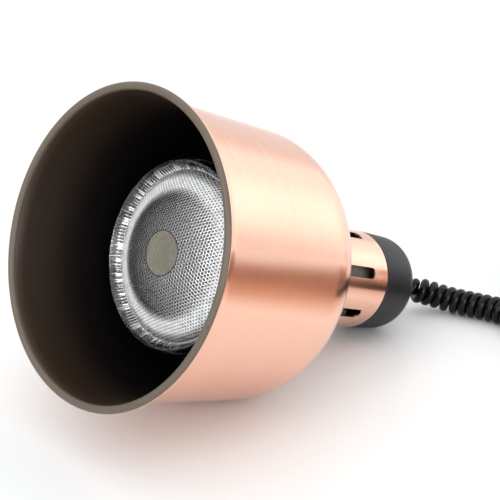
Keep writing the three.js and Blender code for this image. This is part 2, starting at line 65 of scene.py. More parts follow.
CEILING_POINT_X = 12 * MM  # the mount's point is this far along the bracket from its middle
ceiling = next(m for m in frame["record"]["mounts"] if m["name"] == "ceiling_face")
canopy_axis = -Vector(ceiling["axis"]).normalized()
along_bracket = Vector((1, 0, 0))
canopy_middle = Vector(ceiling["pos_m"]) - CEILING_POINT_X * along_bracket
CANOPY = basis(along_bracket, canopy_axis.cross(along_bracket), canopy_axis, canopy_middle)

# ---------------------------------------------------------------- driving dimensions, millimetres
GAP = 0.3  # between neighbouring parts
SHEET = 1.2
SHADE = dict(rim=97.5, bead=2.5, flare=20, flare_top=14, wall_low=91.6, wall_high=88.2, wall_top=105,
             shoulder=41, shoulder_end=50, crown=100, seat=36.4, seat_hole=27)
NECK = dict(radius=35, top=227.2, flange_hole=26.5)
SLOT = dict(count=7, width=7.8, low=176, high=212.6, corner=3.2, first_angle=71.3)
CAP = dict(radius=35, back=33.8, arc=13.5, top=268, wall=2.4, back_wall=3)
HOLDER = dict(radius=22, bore=15.2, low=194.5, floor=226.5, top=240)
NIPPLE_RADIUS = 4.9
NIPPLE_BORE = NIPPLE_RADIUS + 0.4  # of the parts that the nipple passes through
GLAND = dict(radius=9.2, height=9.7, bore=3.6)
BULB = dict(apex=42, face=96, edge=9, radius=62.5, ring_low=59.5, ring_high=64, glass=1.4, clear=13.5)
BASE = dict(radius=13.1, low=195, high=219, tip=224, thread=3.629)
CORD = dict(wire=6.6, turn=6.6, pitch=6.84, opening=3, relief=20, relief_radius=7, relief_tip=4.4)
CANOPY_CUP = dict(rim=42, back=27, depth=34, edge=3)

# The cord's route between the two glands: the same points as the CAD tube's.
CORD_ROUTE = [
    (145.7, 0, 24.2), (150.5, 0, 22.4), (155.9, -2.1, 20.3), (161, -5.2, 18.5), (165.3, -9, 16.8),
    (169.7, -13.4, 15), (173.9, -18.2, 13.2), (177.5, -23.6, 11.6), (180.5, -29.6, 10.5),
    (182.9, -36, 10), (184.8, -42.8, 9.9), (186.7, -50, 9.9), (188.6, -57, 9.9), (190.3, -64, 9.9),
    (191, -78, 9.9), (187, -95, 9.9), (179, -114, 9.9), (170, -133, 9.9), (164, -152, 9.9),
    (165, -172, 9.9), (176, -190, 9.9), (194, -201, 9.9), (214, -202, 9.9), (231, -193, 9.9),
    (242, -177, 9.9), (246.2, -163, 10.7), (247, -152, 13.7), (247, -143, 17.6), (247, -136.3, 20.6),
]


# ---------------------------------------------------------------- camera
def make_camera():
    position = Vector((-0.52546, -0.54719, 0.37215))
    forward = Vector((0.64911, 0.67555, -0.34970))
    data = bpy.data.cameras.new("camera")
    data.sensor_width = 36
    data.lens = 89.33
    data.clip_start = 0.01
    data.clip_end = 50
    camera = bpy.data.objects.new("camera", data)
    bpy.context.scene.collection.objects.link(camera)
    camera.location = position
    camera.rotation_mode = "QUATERNION"
    camera.rotation_quaternion = forward.to_track_quat("-Z", "Y")
    bpy.context.scene.camera = camera


make_camera()


# ---------------------------------------------------------------- mesh helpers
def add_mesh(name, vertices, faces, place, materials, face_materials=None, sharp=35):
    """A mesh object whose vertices are moved by place, so the object itself keeps the row frame."""
    mesh = bpy.data.meshes.new(name)
    mesh.from_pydata([tuple(v) for v in vertices], [], faces)
    mesh.transform(place)
    for material in materials:
        mesh.materials.append(material)
    if face_materials is not None:
        mesh.polygons.foreach_set("material_index", face_materials)
    mesh.update()
    mesh.shade_smooth()
    mesh.set_sharp_from_angle(angle=math.radians(sharp))
    piece = bpy.data.objects.new(name, mesh)
    bpy.context.scene.collection.objects.link(piece)
    return piece


def arc(centre, radius, start, end, steps):
    """Points of an arc in the (radius, z) plane; angle 0 points away from the axis, 90 along it."""
    angles = np.radians(np.linspace(start, end, steps + 1))
    return [(centre[0] + radius * math.cos(a), centre[1] + radius * math.sin(a)) for a in angles]


def lathe(name, profile, place, materials, segments, bands=None, ripple=None):
    """A body turned about z from (radius, z) points in mm. bands gives each profile step's material.

    The profile is closed on itself. ripple(r, z, angles) gives a new radius for each vertex.
    """
    profile = [(float(r), float(z)) for r, z in profile]
    angles = np.arange(segments) * (2 * math.pi / segments)
    vertices = []
    for r, z in profile:
        radii = np.full(segments, r) if ripple is None else ripple(r, z, angles)
        xs = radii * np.cos(angles) * MM
        ys = radii * np.sin(angles) * MM
        vertices.extend((x, y, z * MM) for x, y in zip(xs, ys))
    faces = []
    face_materials = []
    for i in range(len(profile)):
        low = i * segments
        high = (i + 1) % len(profile) * segments
        for k in range(segments):
            n = (k + 1) % segments
            faces.append([low + k, low + n, high + n, high + k])
            face_materials.append(bands[i] if bands else 0)
    piece = add_mesh(name, vertices, faces, place, materials, face_materials)
    outward(piece)
    return piece


def outward(piece):
    """Flips a closed mesh's faces if they point inwards."""
    mesh = piece.data
    mesh.calc_loop_triangles()
    triangles = np.zeros(len(mesh.loop_triangles) * 3, np.int32)
    mesh.loop_triangles.foreach_get("vertices", triangles)
    points = np.zeros(len(mesh.vertices) * 3)
    mesh.vertices.foreach_get("co", points)
    a, b, c = points.reshape(-1, 3)[triangles.reshape(-1, 3)].transpose(1, 0, 2)
    if np.einsum("ij,ij->i", a, np.cross(b, c)).sum() < 0:
        mesh.flip_normals()


def smooth_route(points, per_span=24):
    """A centripetal Catmull-Rom curve through the points, as an even polyline in the points' unit."""
    p = np.array(points, float)
    p = np.vstack([2 * p[0] - p[1], p, 2 * p[-1] - p[-2]])
    line = []
    for i in range(1, len(p) - 2):
        p0, p1, p2, p3 = p[i - 1:i + 3]
        t0 = 0.0
        t1 = t0 + np.linalg.norm(p1 - p0) ** 0.5
        t2 = t1 + np.linalg.norm(p2 - p1) ** 0.5
        t3 = t2 + np.linalg.norm(p3 - p2) ** 0.5
        for t in np.linspace(t1, t2, per_span, endpoint=False):
            a1 = (t1 - t) / (t1 - t0) * p0 + (t - t0) / (t1 - t0) * p1
            a2 = (t2 - t) / (t2 - t1) * p1 + (t - t1) / (t2 - t1) * p2
            a3 = (t3 - t) / (t3 - t2) * p2 + (t - t2) / (t3 - t2) * p3
            b1 = (t2 - t) / (t2 - t0) * a1 + (t - t0) / (t2 - t0) * a2
            b2 = (t3 - t) / (t3 - t1) * a2 + (t - t1) / (t3 - t1) * a3
            line.append((t2 - t) / (t2 - t1) * b1 + (t - t1) / (t2 - t1) * b2)
    line.append(p[-2])
    return np.array(line)


def line_lengths(line):
    """How far along the polyline each of its points is."""
    return np.concatenate([[0], np.cumsum(np.linalg.norm(np.diff(line, axis=0), axis=1))])


def along(line, lengths, at):
    """The polyline's points at the given distances along it."""
    return np.stack([np.interp(at, lengths, line[:, i]) for i in range(3)], axis=-1)


def frames_along(line):
    """Unit tangents and a pair of normals that turn as little as possible along the polyline."""
    tangents = np.gradient(line, axis=0)
    tangents /= np.linalg.norm(tangents, axis=1)[:, None]
    first = np.cross(tangents[0], (0, 0, 1))
    normals = [first / np.linalg.norm(first)]
    for tangent in tangents[1:]:
        n = normals[-1] - tangent * normals[-1].dot(tangent)
        normals.append(n / np.linalg.norm(n))
    normals = np.array(normals)
    return tangents, normals, np.cross(tangents, normals)


def sweep(name, line, radii, material, sides, sharp):
    """A closed tube of changing radius along a polyline in metres."""
    _, normals, sideways = frames_along(line)
    angles = np.arange(sides) * (2 * math.pi / sides)
    outwards = (normals[:, None, :] * np.cos(angles)[None, :, None]
                + sideways[:, None, :] * np.sin(angles)[None, :, None])
    rings = line[:, None, :] + outwards * radii[:, None, None]
    vertices = rings.reshape(-1, 3)
    faces = []
    for i in range(len(line) - 1):
        for k in range(sides):
            n = (k + 1) % sides
            faces.append([i * sides + k, i * sides + n, (i + 1) * sides + n, (i + 1) * sides + k])
    faces.append(list(range(sides))[::-1])
    faces.append([(len(line) - 1) * sides + k for k in range(sides)])
    piece = add_mesh(name, vertices, faces, Matrix.Identity(4), [material], sharp=sharp)
    outward(piece)
    return piece


def wire(name, line, radius, material, roundness=4):
    """A curve object of one open spline through a polyline in metres."""
    curve = bpy.data.curves.new(name, "CURVE")
    curve.dimensions = "3D"
    curve.bevel_depth = radius
    curve.bevel_resolution = roundness
    curve.use_fill_caps = True
    spline = curve.splines.new("POLY")
    spline.points.add(len(line) - 1)
    spline.points.foreach_set("co", np.column_stack([line, np.ones(len(line))]).ravel())
    spline.use_smooth = True
    curve.materials.append(material)
    piece = bpy.data.objects.new(name, curve)
    bpy.context.scene.collection.objects.link(piece)
    return piece


# ---------------------------------------------------------------- materials
class Nodes:
    """A node tree. add() makes a node; its inputs are values or other nodes' sockets."""

    def __init__(self, tree):
        self.tree = tree

    def add(self, kind, inputs=None, **settings):
        node = self.tree.nodes.new("ShaderNode" + kind)
        for name, value in settings.items():
            setattr(node, name, value)
        for name, value in (inputs or {}).items():
            if isinstance(value, bpy.types.NodeSocket):
                self.tree.links.new(value, node.inputs[name])
            else:
                node.inputs[name].default_value = value
        return node

    def math(self, operation, a, b=0.0):
        return self.add("Math", {0: a, 1: b}, operation=operation).outputs[0]

    def mix(self, factor, a, b):
        node = self.add("Mix", {"Factor": factor, 6: a, 7: b}, data_type="RGBA")
        return node.outputs[2]

    def ramp(self, factor, low, high, start=0.0, end=1.0):
        """Maps factor from low..high to start..end, clamped."""
        node = self.add("MapRange", {0: factor, 1: low, 2: high, 3: start, 4: end})
        return node.outputs[0]

    def object_point(self):
        return self.add("TexCoord").outputs["Object"]

    def vector(self, operation, a, b, output="Vector"):
        return self.add("VectorMath", {0: a, 1: b}, operation=operation).outputs[output]

    def turned_point(self, place):
        """The shaded point in the frame place: cosine and sine round its axis, radius and height."""
        point = self.vector("SUBTRACT", self.object_point(), place.translation)
        x, y, z = (self.vector("DOT_PRODUCT", point, place.col[i].xyz, "Value") for i in range(3))
        squares = self.math("ADD", self.math("MULTIPLY", x, x), self.math("MULTIPLY", y, y))
        radius = self.math("SQRT", squares)
        return self.math("DIVIDE", x, radius), self.math("DIVIDE", y, radius), radius, z

    def noise(self, vector, scale, detail=2.0, rough=0.5):
        inputs = {"Vector": vector, "Scale": scale, "Detail": detail, "Roughness": rough}
        return self.add("TexNoise", inputs).outputs["Fac"]

    def bump(self, height, distance, normal=None):
        inputs = {"Height": height, "Distance": distance, "Strength": 1.0}
        if normal is not None:
            inputs["Normal"] = normal
        return self.add("Bump", inputs).outputs["Normal"]


class Shader(Nodes):
    """The nodes of a new material, which surface() returns."""

    def __init__(self, name):
        self.material = bpy.data.materials.new(name)
        self.material.use_nodes = True
        super().__init__(self.material.node_tree)
        self.tree.nodes.clear()
        self.out = self.tree.nodes.new("ShaderNodeOutputMaterial")

    def surface(self, inputs):
        node = self.add("BsdfPrincipled", inputs)
        self.tree.links.new(node.outputs[0], self.out.inputs["Surface"])
        return self.material


def scaled(color, factor):
    return tuple(c * factor for c in color[:3]) + (1,)


def ring_noise(shader, place, fineness, detail, rough):
    """Noise that runs round the frame's axis in fine rings."""
    cosine, sine, radius, height = shader.turned_point(place)
    radius_share = 0.7  # gives rings to the faces that lie across the axis as well
    across = shader.math("ADD", height, shader.math("MULTIPLY", radius, radius_share))
    fine = shader.math("MULTIPLY", across, fineness)
    vector = shader.add("CombineXYZ", {0: cosine, 1: sine, 2: fine}).outputs[0]
    return shader.noise(vector, 1.0, detail, rough)


def axial_tangent(shader, place):
    """The frame's axis, along which the highlight of ring-brushed metal spreads."""
    node = shader.add("VectorTransform", {0: place.col[2].xyz}, vector_type="VECTOR",
                      convert_from="OBJECT", convert_to="WORLD")
    return node.outputs[0]


def brushed_copper(name, place, light, dark):
    """Lacquered metal brushed in rings round the frame's axis."""
    s = Shader(name)
    fine = ring_noise(s, place, 2600, 3, 0.7)
    coarse = ring_noise(s, place, 420, 2, 0.6)
    cloud = s.noise(s.object_point(), 14, 2)
    grain = s.math("ADD", s.math("MULTIPLY", fine, 0.5), s.math("MULTIPLY", coarse, 0.5))
    color = s.mix(s.ramp(grain, 0.35, 0.65), dark, light)
    rough = s.math("ADD", s.ramp(grain, 0.3, 0.7, 0.18, 0.25), s.ramp(cloud, 0.35, 0.65, -0.02, 0.02))
    return s.surface({
        "Base Color": color, "Metallic": 1.0, "Roughness": rough, "Anisotropic": 0.85,
        "Tangent": axial_tangent(s, place), "Normal": s.bump(grain, 2.5e-6),
        "Coat Weight": 0.35, "Coat Roughness": 0.15,
    })


def spun_paint(name, place, color, roughness, gloss, chips=False, deep_painted_shade=False):
    """Satin paint over spun metal: rings show through, and deep inside it can be darkened to near black as painted
    shade.
    """
    s = Shader(name)
    rings = ring_noise(s, place, 260, 3, 0.6)
    speck = s.noise(s.object_point(), 900, 3)
    base = s.mix(s.ramp(rings, 0.3, 0.7), color, scaled(color, 1.25))
    if deep_painted_shade:
        # painted shade: a little way in from the rim the paint turns near black, standing in for the shade deep
        # inside
        painted_shade_color = (0.004, 0.003, 0.003, 1)
        painted_shade_starts, painted_shade_covers = 0.012, 0.055  # metres from the rim
        _, _, _, height = s.turned_point(place)
        base = s.mix(s.ramp(height, painted_shade_starts, painted_shade_covers), base, painted_shade_color)
    if chips:
        bare = (0.07, 0.05, 0.04, 1)
        spots = s.noise(s.object_point(), 70, 4, 0.65)
        base = s.mix(s.ramp(spots, 0.69, 0.71), base, bare)
    normal = s.bump(speck, 4e-6, s.bump(rings, 1.5e-5))
    return s.surface({
        "Base Color": base, "Roughness": roughness, "Specular IOR Level": gloss, "Normal": normal,
    })


def plastic(name, color, roughness, grain=500, depth=5e-6, coat=0.0, gloss=0.5):
    s = Shader(name)
    mottle = s.noise(s.object_point(), grain, 4, 0.6)
    smudge = s.noise(s.object_point(), 30, 3)
    lighter = tuple(min(1, c * 1.25 + 0.003) for c in color[:3]) + (1,)
    base = s.mix(s.ramp(smudge, 0.3, 0.7), color, lighter)
    rough = s.ramp(smudge, 0.3, 0.7, roughness * 0.9, roughness * 1.15)
    return s.surface({
        "Base Color": base, "Roughness": rough, "Normal": s.bump(mottle, depth),
        "Coat Weight": coat, "Coat Roughness": 0.12, "Specular IOR Level": gloss,
    })


def plain_metal(name, color, roughness):
    s = Shader(name)
    scratches = s.noise(s.object_point(), 400, 5, 0.7)
    stain = s.noise(s.object_point(), 60, 3)
    base = s.mix(s.ramp(stain, 0.35, 0.65), scaled(color, 0.72), color)
    rough = s.ramp(scratches, 0.3, 0.7, roughness * 0.8, roughness * 1.3)
    return s.surface({
        "Base Color": base, "Metallic": 1.0, "Roughness": rough, "Normal": s.bump(scratches, 4e-6),
    })


def ceramic(name):
    s = Shader(name)
    speck = s.noise(s.object_point(), 250, 3)
    wave = s.noise(s.object_point(), 60, 2)
    # painted shade: both tones are far darker than the porcelain's own pale cream, standing in for the shade
    # inside the neck around the holder
    base = s.mix(s.ramp(speck, 0.4, 0.75), (0.3, 0.28, 0.25, 1), (0.24, 0.22, 0.19, 1))
    return s.surface({
        "Base Color": base, "Roughness": 0.16, "Normal": s.bump(wave, 6e-5), "Coat Weight": 0.6,
    })


def insulated_wire(name, color, stripe=None):
    s = Shader(name)
    grain = s.noise(s.object_point(), 700, 3)
    base = s.mix(s.ramp(grain, 0.3, 0.7), color, scaled(color, 1.3))
    if stripe:
        wave = s.add("TexWave", {"Vector": s.object_point(), "Scale": 130.0}).outputs["Fac"]
        base = s.mix(s.ramp(wave, 0.5, 0.56), base, stripe)
    return s.surface({"Base Color": base, "Roughness": 0.35, "Normal": s.bump(grain, 5e-6)})


def clear_glass(name):
    s = Shader(name)
    ripple = s.noise(s.object_point(), 45, 2)
    tint = s.mix(s.ramp(ripple, 0.3, 0.7), (0.95, 0.96, 0.97, 1), (0.97, 0.98, 0.99, 1))
    return s.surface({
        "Base Color": tint, "Roughness": 0.02, "IOR": 1.47, "Transmission Weight": 1.0,
        "Normal": s.bump(ripple, 6e-5),
    })


def dimpled_glass(name, place):
    """Pressed glass with clear bowls; its ridges are silvered, and hazy in a ring near the edge."""
    s = Shader(name)
    height = s.add("Attribute", attribute_name="ridge").outputs["Fac"]
    _, _, radius, _ = s.turned_point(place)
    ring = s.math("MULTIPLY", s.ramp(radius, 0.036, 0.042), s.ramp(radius, 0.048, 0.054, 1.0, 0.0))
    patchy = s.ramp(s.noise(s.object_point(), 300, 3), 0.35, 0.6, 0.75, 1.0)
    widened = s.math("MULTIPLY", ring, s.ramp(height, 0.05, 0.38))
    ridge = s.math("MAXIMUM", s.ramp(height, 0.4, 0.75), widened)
    outside_ring = s.math("SUBTRACT", 1.0, ring)
    silver = s.math("MULTIPLY", outside_ring, s.ramp(radius, 0.025, 0.045, 0.22, 0.6))
    haze = s.math("MULTIPLY", s.math("MULTIPLY", ridge, patchy), s.ramp(ring, 0, 1, 0.15, 1.0))
    clear = s.math("SUBTRACT", 1.0, haze)
    return s.surface({
        "Base Color": (0.95, 0.96, 0.97, 1), "Roughness": 0.03, "IOR": 1.47,
        "Transmission Weight": clear, "Metallic": s.math("MULTIPLY", ridge, silver),
    })


def etched_glass(name, color, cover):
    """Glass with a thin pale haze on it."""
    s = Shader(name)
    speck = s.noise(s.object_point(), 900, 2)
    share = s.ramp(speck, 0.3, 0.7, cover * 0.8, cover * 1.2)
    clear = s.math("SUBTRACT", 1.0, share)
    return s.surface({
        "Base Color": color, "Roughness": 0.12, "IOR": 1.47, "Transmission Weight": clear,
        "Normal": s.bump(speck, 4e-6),
    })


def mirror_coat(name):
    """The bulb's vapour coating seen from outside: a bright mirror, a little hazy in places."""
    s = Shader(name)
    wave = s.noise(s.object_point(), 40, 3)
    haze = s.noise(s.object_point(), 220, 4)
    base = s.mix(s.ramp(haze, 0.35, 0.7), (0.86, 0.86, 0.87, 1), (0.7, 0.7, 0.72, 1))
    return s.surface({
        "Base Color": base, "Metallic": 1.0, "Roughness": 0.05, "Normal": s.bump(wave, 1e-4),
    })


def inner_coat(name):
    """The bulb's coating seen from inside: a smoky mirror with darker clouds."""
    s = Shader(name)
    cloud = s.noise(s.object_point(), 70, 3)
    base = s.mix(s.ramp(cloud, 0.4, 0.6), (0.105, 0.1, 0.096, 1), (0.03, 0.036, 0.048, 1))
    return s.surface({
        "Base Color": base, "Metallic": 1.0, "Roughness": 0.12, "Normal": s.bump(cloud, 1e-4),
    })


def glossy_sheath(name):
    s = Shader(name)
    grain = s.noise(s.object_point(), 420, 4, 0.6)
    smudge = s.noise(s.object_point(), 55, 3)
    rough = s.ramp(smudge, 0.3, 0.7, 0.13, 0.2)
    base = s.mix(s.ramp(smudge, 0.3, 0.7), (0.002, 0.002, 0.0025, 1), (0.004, 0.004, 0.005, 1))
    return s.surface({
        "Base Color": base, "Roughness": rough, "Specular IOR Level": 0.2, "Normal": s.bump(grain, 4e-6),
    })


COPPER_TONES = (0.95, 0.57, 0.43, 1), (0.91, 0.52, 0.385, 1)
COPPER = brushed_copper("brushed_copper", LAMP, *COPPER_TONES)
CANOPY_COPPER = brushed_copper("canopy_copper", CANOPY, *COPPER_TONES)
# painted shade: this paint turns near black deep inside, standing in for the shade in the hollow
INSIDE = spun_paint("shade_inside_paint", LAMP, (0.021, 0.0115, 0.006, 1), 0.42, 0.3, deep_painted_shade=True)
# painted light: the rim bead wears the same paint as the inside, made paler here to stand in for the light and
# sheen it catches
LIT_RIM_PAINT = spun_paint("lit_rim_paint", LAMP, (0.09, 0.069, 0.051, 1), 0.38, 0.35, chips=True)
CHARCOAL = plastic("charcoal_plastic", (0.006, 0.007, 0.008, 1), 0.42, gloss=0.36)
SHEATH = glossy_sheath("black_sheath")
RUBBER = plastic("relief_rubber", (0.008, 0.008, 0.009, 1), 0.45, grain=800)
SHADED_PORCELAIN = ceramic("porcelain")
BRASS = plain_metal("brass", (0.78, 0.58, 0.28, 1), 0.3)
ZINC = plain_metal("zinc_plated_steel", (0.66, 0.67, 0.68, 1), 0.32)
NICKEL = plain_metal("nickel_plate", (0.72, 0.7, 0.66, 1), 0.24)
TUNGSTEN = plain_metal("tungsten", (0.34, 0.34, 0.35, 1), 0.4)
BLACK_GLASS = plastic("black_glass", (0.01, 0.01, 0.012, 1), 0.12, grain=200, depth=2e-6, coat=0.5)
WHITE_PLASTIC = plastic("white_plastic", (0.78, 0.77, 0.72, 1), 0.45)
BROWN = insulated_wire("brown_core", (0.2, 0.085, 0.04, 1))
BLUE = insulated_wire("blue_core", (0.03, 0.12, 0.42, 1))
GREEN = insulated_wire("green_core", (0.06, 0.3, 0.05, 1), stripe=(0.75, 0.62, 0.05, 1))
GLASS = clear_glass("stem_glass")
DIMPLED = dimpled_glass("bulb_glass", LAMP)
ETCHED = etched_glass("etched_glass", (0.62, 0.57, 0.44, 1), 0.22)
MIRROR = mirror_coat("bulb_mirror")
SMOKE = inner_coat("bulb_inner_coat")

SLOT_MATERIALS = {
    "copper_finish": COPPER, "black_plastic": CHARCOAL, "porcelain": SHADED_PORCELAIN, "brass": BRASS,
    "zinc_steel": ZINC, "cord_rubber": SHEATH, "core_brown": BROWN, "core_blue": BLUE,
    "core_green": GREEN, "bulb_glass": GLASS, "nickel": NICKEL, "black_glass": BLACK_GLASS,
    "tungsten": TUNGSTEN, "white_plastic": WHITE_PLASTIC,
}


def finish_cad_nodes():
    """Gives every CAD node the material of its slot."""
    slots = {part["node"]: part["material_slot"] for part in frame["record"]["subparts"]}
    for name, node in frame["nodes"].items():
        material = SLOT_MATERIALS[slots[name]]
        node.data.materials.clear()
        node.data.materials.append(material)


finish_cad_nodes()


def stands_for(piece, body, node):
    """Lets the piece ride on a body and take the place of a CAD node."""
    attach(piece, body)
    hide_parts(node)
    return piece


# ---------------------------------------------------------------- cord
def smooth_step(t):
    t = np.clip(t, 0, 1)
    return t * t * (3 - 2 * t)


def curly_line(route, lengths):
    """The wire's centreline, straight in both reliefs and wound left-handed between, and its turns."""
    whole = lengths[-1]
    step = 0.05
    bend_share = 0.4  # the turns tip over and press together on the inside of a bend
    spacing = 1.5
    at = np.arange(0, whole, step)
    centre = along(route, lengths, at)
    tangents, normals, sideways = frames_along(centre)
    bend = np.linalg.norm(np.gradient(tangents, at, axis=0), axis=1)
    from_relief = np.minimum(at, whole - at) - CORD["relief"] - GAP
    radius = CORD["turn"] * smooth_step(from_relief / CORD["opening"])
    pitch = CORD["pitch"] * (1 + bend_share * CORD["turn"] * bend)
    turn = -np.cumsum(np.where(from_relief > 0, 2 * math.pi * step / pitch, 0))
    offset = normals * np.cos(turn)[:, None] + sideways * np.sin(turn)[:, None]
    line = centre + offset * radius[:, None]
    wound = line_lengths(line)
    even = np.linspace(0, wound[-1], int(wound[-1] / spacing))
    return along(line, wound, even) * MM, -turn[-1] / (2 * math.pi)


def relief(name, route, lengths, from_start):
    """A tapered rubber sleeve with grooves across it, on the first stretch of the cord."""
    rings, groove_count, groove_depth = 89, 6, 0.45
    share = np.linspace(0, 1, rings)
    at = GAP + CORD["relief"] * share
    line = along(route, lengths, at if from_start else lengths[-1] - at) * MM
    taper = CORD["relief_radius"] + (CORD["relief_tip"] - CORD["relief_radius"]) * share
    grooves = groove_depth * np.clip(np.sin(share * 2 * math.pi * groove_count), 0, 1) ** 0.5
    grooved = (share > 0.16) & (share < 0.92)
    radius = taper - np.where(grooved, grooves, 0)
    return sweep(name, line, radius * MM, RUBBER, sides=40, sharp=50)


def make_cord():
    route = smooth_route(CORD_ROUTE)
    lengths = line_lengths(route)
    line, turns = curly_line(route, lengths)
    cord = wire("curly_cord_wire", line, CORD["wire"] / 2 * MM, SHEATH)
    stands_for(cord, "fixture", "curly_cord")
    near = relief("lamp_relief_sleeve", route, lengths, True)
    far = relief("canopy_relief_sleeve", route, lengths, False)
    stands_for(near, "fixture", "lamp_strain_relief")
    stands_for(far, "fixture", "canopy_strain_relief")
    wire_length = line_lengths(line)[-1]
    print(f"curly cord: {turns:.1f} turns, {wire_length:.3f} m of wire on {lengths[-1]:.0f} mm")
    return cord, near, far, line, wire_length


cord_wire, near_relief, far_relief, cord_line, wire_length = make_cord()


# ---------------------------------------------------------------- shade
wall_tilt = math.degrees(math.atan2(SHADE["wall_low"] - SHADE["wall_high"],
                                    SHADE["wall_top"] - SHADE["flare_top"]))


def step_from(centre, distance, angle):
    """The point at this distance and angle from a centre in the (radius, z) plane."""
    a = math.radians(angle)
    return (centre[0] + distance * math.cos(a), centre[1] + distance * math.sin(a))


shoulder_centre = step_from((SHADE["wall_high"], SHADE["wall_top"]), -SHADE["shoulder"], wall_tilt)
crown_centre = step_from(shoulder_centre, SHADE["shoulder"] - SHADE["crown"], SHADE["shoulder_end"])
crown_end = math.degrees(math.acos((SHADE["seat"] - crown_centre[0]) / SHADE["crown"]))
seat_height = step_from(crown_centre, SHADE["crown"], crown_end)[1]


def shade_face(inset):
    """The shade's outside from the rim to the hole in its seat, moved into the metal by inset."""
    flare_centre = (SHADE["wall_low"] + SHADE["flare"], SHADE["flare_top"])
    flare_start = 210
    flare = arc(flare_centre, SHADE["flare"] + inset, flare_start, 180 + wall_tilt, 14)
    shoulder = arc(shoulder_centre, SHADE["shoulder"] - inset, wall_tilt, SHADE["shoulder_end"], 30)
    crown = arc(crown_centre, SHADE["crown"] - inset, SHADE["shoulder_end"], crown_end, 14)
    low, high = flare[-1], shoulder[0]
    wall = [(low[0] + (high[0] - low[0]) * t, low[1] + (high[1] - low[1]) * t)
            for t in np.linspace(0, 1, 14)[1:-1]]
    return [*flare, *wall, *shoulder, *crown[1:], (SHADE["seat_hole"], seat_height - inset)]


def make_shade():
    outer = shade_face(0)
    inner = shade_face(SHEET)[::-1]
    bead_centre = (SHADE["rim"] - SHADE["bead"], SHADE["bead"])
    bead_start, bead_end = 150, 420
    bead = arc(bead_centre, SHADE["bead"], bead_start, bead_end, 54)
    profile = [*outer, *inner, *bead]
    copper, inside, lip = 0, 1, 2
    lip_depth = 4.5  # how far the rim's paler paint, the inside's paint made paler as painted light, reaches into the shade
    lip_share = 0.72  # of the bead, from inside outwards
    bands = [copper] * len(outer)
    bands += [lip if z < lip_depth else inside for _, z in inner]
    bands += [lip if i < lip_share * len(bead) else copper for i in range(len(bead))]
    shade = lathe("shade_shell", profile, LAMP, [COPPER, INSIDE, LIT_RIM_PAINT], 256, bands)
    stands_for(shade, "fixture", "shade")


make_shade()


# ---------------------------------------------------------------- neck sleeve with its slots
def slot_cutter(angle):
    """A bar with a rounded outline, standing outwards through the sleeve."""
    r = SLOT["corner"]
    side = SLOT["width"] / 2 - r
    low, high = SLOT["low"] + r, SLOT["high"] - r
    corners = [(high, side), (low, side), (low, -side), (high, -side)]
    outline = []
    for i, corner in enumerate(corners):
        outline += arc(corner, r, 90 * i, 90 * (i + 1), 6)
    count = len(outline)
    turn = Matrix.Rotation(math.radians(angle), 4, "Z")
    bar_ends = (28, 42)
    vertices = [turn @ Vector((d * MM, y * MM, z * MM)) for d in bar_ends for z, y in outline]
    faces = [[k, (k + 1) % count, count + (k + 1) % count, count + k] for k in range(count)]
    faces += [list(range(count))[::-1], [count + k for k in range(count)]]
    cutter = add_mesh("slot_cutter", vertices, faces, LAMP, [COPPER])
    outward(cutter)
    return cutter


def cut_out(piece, cutter):
    """Takes the cutter's shape out of the piece and deletes the cutter."""
    modifier = piece.modifiers.new("cut", "BOOLEAN")
    modifier.operation = "DIFFERENCE"
    modifier.solver = "EXACT"
    modifier.object = cutter
    graph = bpy.context.evaluated_depsgraph_get()
    mesh = bpy.data.meshes.new_from_object(piece.evaluated_get(graph))
    piece.modifiers.clear()
    piece.data = mesh
    bpy.data.objects.remove(cutter)
    mesh.shade_smooth()
    mesh.set_sharp_from_angle(angle=math.radians(35))


def make_neck():
    radius, top = NECK["radius"], NECK["top"]
    low = seat_height + GAP
    low_hole, high_hole = SHADE["seat_hole"] + 0.5, NECK["flange_hole"]
    edge = 0.35
    outer_wall = [(radius, z) for z in np.linspace(low + edge, top - edge, 30)]
    inner_wall = [(radius - SHEET, z) for z in np.linspace(top - SHEET, low + SHEET, 26)]
    outside = [(low_hole, low), (radius - edge, low), *outer_wall, (radius - edge, top)]
    inside = [(high_hole, top), (high_hole, top - SHEET), *inner_wall, (low_hole, low + SHEET)]
    # painted shade: the sleeve's inside takes the shade's inside paint, which this deep in is painted near black
    bands = [0] * len(outside) + [1] * len(inside)
    neck = lathe("neck_sleeve_shell", [*outside, *inside], LAMP, [COPPER, INSIDE], 168, bands)
    for i in range(SLOT["count"]):
        cut_out(neck, slot_cutter(SLOT["first_angle"] + 360 * i / SLOT["count"]))
    stands_for(neck, "fixture", "neck_sleeve")


make_neck()


# ---------------------------------------------------------------- end cap and gland
def make_cap():
    low = NECK["top"] + 0.4
    centre = (CAP["back"] - CAP["arc"], CAP["top"] - CAP["arc"])
    edge = 0.7
    edge_centre = (CAP["radius"] - edge, low + edge)
    profile = [
        (CAP["radius"] - CAP["wall"], low), (CAP["radius"] - edge, low),
        *arc(edge_centre, edge, -90, 0, 6)[1:], *arc(centre, CAP["arc"], 0, 90, 28),
        (NIPPLE_BORE, CAP["top"]), (NIPPLE_BORE, CAP["top"] - CAP["back_wall"]),
        *arc(centre, CAP["arc"] - CAP["wall"], 80, 0, 12),
    ]
    cap = lathe("end_cap_shell", profile, LAMP, [CHARCOAL], 192)
    stands_for(cap, "fixture", "end_cap")


